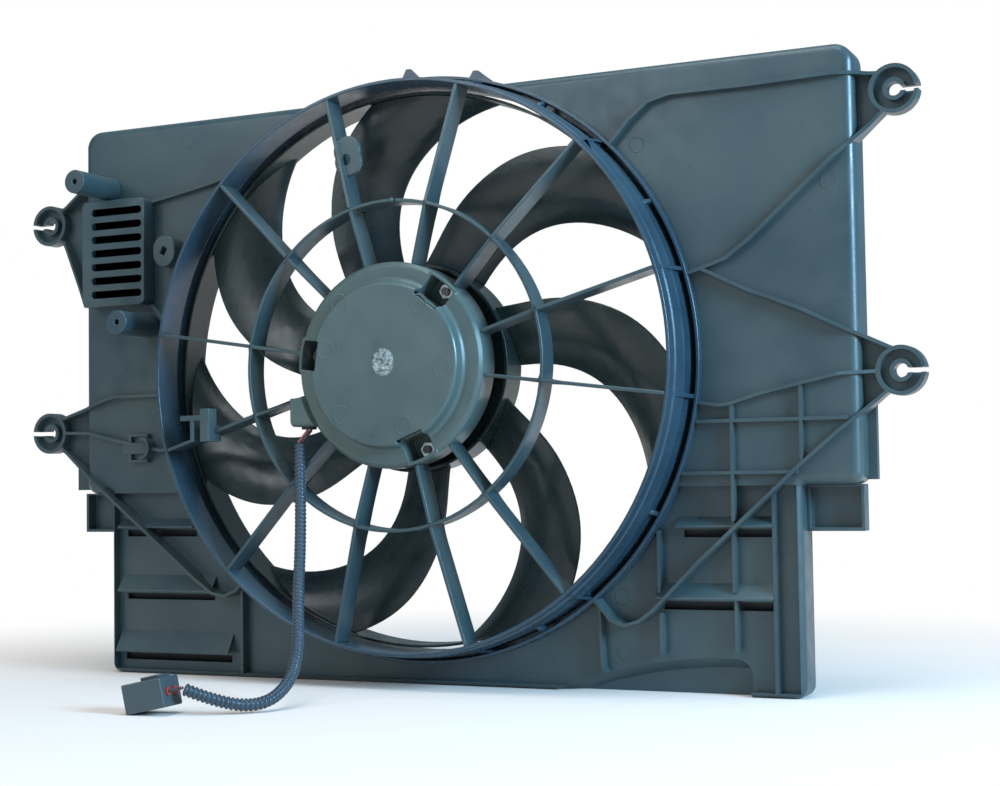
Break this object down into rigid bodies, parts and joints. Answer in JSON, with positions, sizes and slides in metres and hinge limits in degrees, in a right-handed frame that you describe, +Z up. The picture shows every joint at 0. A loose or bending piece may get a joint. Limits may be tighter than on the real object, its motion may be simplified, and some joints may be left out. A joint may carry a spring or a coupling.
{
  "type": "radiator fan",
  "caption": "Car radiator cooling fan: a moulded shroud and ring with stator arms, a motor in a cup, a swept-blade fan with a band, and a conduit harness with a plug.",
  "frame": {"origin": "under the fan's axis, at the shroud's lower edge, midway between the motor cup's front and the shroud's rear edge", "axes": "+Z up, +X to the right seen from the engine side, +Y back towards the radiator"},
  "size_m": [0.7488, 0.2427, 0.4668],
  "materials": {
    "shroud_plastic": "moulded, glass-filled, satin",
    "fan_plastic": "moulded, satin, dusty",
    "zinc_plated_steel": "zinc plated",
    "sintered_bronze": "sintered, oiled",
    "ferrite": "sintered ferrite",
    "electrical_steel": "stacked laminations",
    "copper_wire": "enamelled copper",
    "ground_steel": "ground",
    "brush_plastic": "phenolic",
    "carbon": "pressed carbon",
    "spring_steel": "drawn",
    "bright_nut": "bright plated",
    "black_rubber": "moulded",
    "wire_insulation": "extruded sleeve",
    "conduit_plastic": "corrugated, slightly glossy",
    "plug_plastic": "moulded, satin",
    "seal_rubber": "moulded silicone",
    "tinned_brass": "tinned"
  },
  "bodies": {
    "shroud": {"upper_sheets": "shroud_plastic", "lower_sheet": "shroud_plastic", "panel_walls": "shroud_plastic", "side_pockets": "shroud_plastic", "ring_lip": "shroud_plastic", "louvre_flaps": "black_rubber", "rib_clip": "shroud_plastic", "side_flanges": "shroud_plastic", "panel_ribs": "shroud_plastic", "bolt_ears": "shroud_plastic", "louvre_hoods": "shroud_plastic", "vent_grille": "shroud_plastic", "screw_posts": "shroud_plastic", "fan_ring": "shroud_plastic", "stator_arms": "shroud_plastic", "motor_cup": "shroud_plastic", "harness_clip": "shroud_plastic", "motor_flange": "zinc_plated_steel", "motor_can": "zinc_plated_steel", "motor_end_plate": "zinc_plated_steel", "front_bush": "sintered_bronze", "rear_bush": "sintered_bronze", "motor_magnets": "ferrite", "brush_card": "brush_plastic", "lower_brush_spring": "spring_steel", "upper_brush_spring": "spring_steel", "motor_studs": "zinc_plated_steel", "motor_nuts": "bright_nut", "lead_grommet": "black_rubber", "motor_leads": "wire_insulation", "harness_conduit": "conduit_plastic", "plug_leads": "wire_insulation", "plug_housing": "plug_plastic", "plug_lock": "plug_plastic", "plug_seals": "seal_rubber", "plug_terminals": "tinned_brass"},
    "rotor": {"fan_hub": "fan_plastic", "fan_blades": "fan_plastic", "fan_band": "fan_plastic", "fan_nut": "bright_nut", "motor_shaft": "ground_steel", "armature_core": "electrical_steel", "armature_windings": "copper_wire", "commutator": "copper_wire"},
    "lower_brush_slide": {"lower_brush": "carbon"},
    "upper_brush_slide": {"upper_brush": "carbon"}
  },
  "joints": [
    {"name": "fan_spin", "type": "hinge", "parent": "shroud", "child": "rotor", "pos_m": [0, 0.01675, 0.237], "axis": [0, 1, 0], "continuous": true},
    {"name": "lower_brush_lift", "type": "slide", "parent": "shroud", "child": "lower_brush_slide", "axis": [0, 0, -1], "range_m": [0, 0.004], "stiffness_N_per_m": 300, "springref_m": -0.008, "deforming": ["lower_brush_spring"]},
    {"name": "upper_brush_lift", "type": "slide", "parent": "shroud", "child": "upper_brush_slide", "axis": [0, 0, 1], "range_m": [0, 0.004], "stiffness_N_per_m": 300, "springref_m": -0.008, "deforming": ["upper_brush_spring"]}
  ]
}
